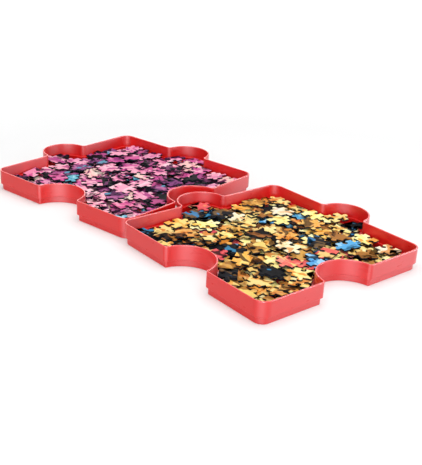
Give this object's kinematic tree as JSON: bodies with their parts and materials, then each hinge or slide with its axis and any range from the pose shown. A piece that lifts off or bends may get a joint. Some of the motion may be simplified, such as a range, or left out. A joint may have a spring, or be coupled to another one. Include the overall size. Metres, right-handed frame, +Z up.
{
  "type": "jigsaw puzzle storage case",
  "caption": "Pair of open, jigsaw-shaped plastic sorting trays that interlock by knob and socket and nest when stacked, each filled with a heap of loose jigsaw pieces.",
  "frame": {"origin": "middle of the front tray's underside, on the surface that the set stands on", "axes": "+Z up; +X from the rear tray to the front tray, square to the front tray's side; +Y towards the side of the front tray that carries a knob. The rear tray stands turned 11.2 degrees against this frame."},
  "size_m": [0.441, 0.2588, 0.022],
  "materials": {
    "red_plastic": "glossy injection-moulded polystyrene",
    "black_print": "printed face with a light satin varnish, grey board at the edges and back",
    "blue_print": "printed face with a light satin varnish, grey board at the edges and back",
    "brown_print": "printed face with a light satin varnish, grey board at the edges and back",
    "coral_print": "printed face with a light satin varnish, grey board at the edges and back",
    "cream_print": "printed face with a light satin varnish, grey board at the edges and back",
    "magenta_print": "printed face with a light satin varnish, grey board at the edges and back",
    "orange_print": "printed face with a light satin varnish, grey board at the edges and back",
    "pink_print": "printed face with a light satin varnish, grey board at the edges and back",
    "plum_print": "printed face with a light satin varnish, grey board at the edges and back",
    "teal_print": "printed face with a light satin varnish, grey board at the edges and back",
    "yellow_print": "printed face with a light satin varnish, grey board at the edges and back"
  },
  "bodies": {
    "front_tray": {"front_tray": "red_plastic"},
    "rear_tray": {"rear_tray": "red_plastic"},
    "rear_pieces": {"rear_black_pieces": "black_print", "rear_cream_pieces": "cream_print", "rear_magenta_pieces": "magenta_print", "rear_pink_pieces": "pink_print", "rear_plum_pieces": "plum_print", "rear_teal_pieces": "teal_print"},
    "front_pieces": {"front_black_pieces": "black_print", "front_blue_pieces": "blue_print", "front_brown_pieces": "brown_print", "front_coral_pieces": "coral_print", "front_cream_pieces": "cream_print", "front_orange_pieces": "orange_print", "front_yellow_pieces": "yellow_print"}
  },
  "joints": [
    {"name": "draw_trays_apart", "type": "slide", "parent": "front_tray", "child": "rear_tray", "axis": [-1, 0, 0], "range_m": [0, 0.06]},
    {"name": "lift_rear_pieces", "type": "slide", "parent": "rear_tray", "child": "rear_pieces", "axis": [0, 0, 1], "range_m": [0, 0.03]},
    {"name": "lift_front_pieces", "type": "slide", "parent": "front_tray", "child": "front_pieces", "axis": [0, 0, 1], "range_m": [0, 0.03]}
  ]
}
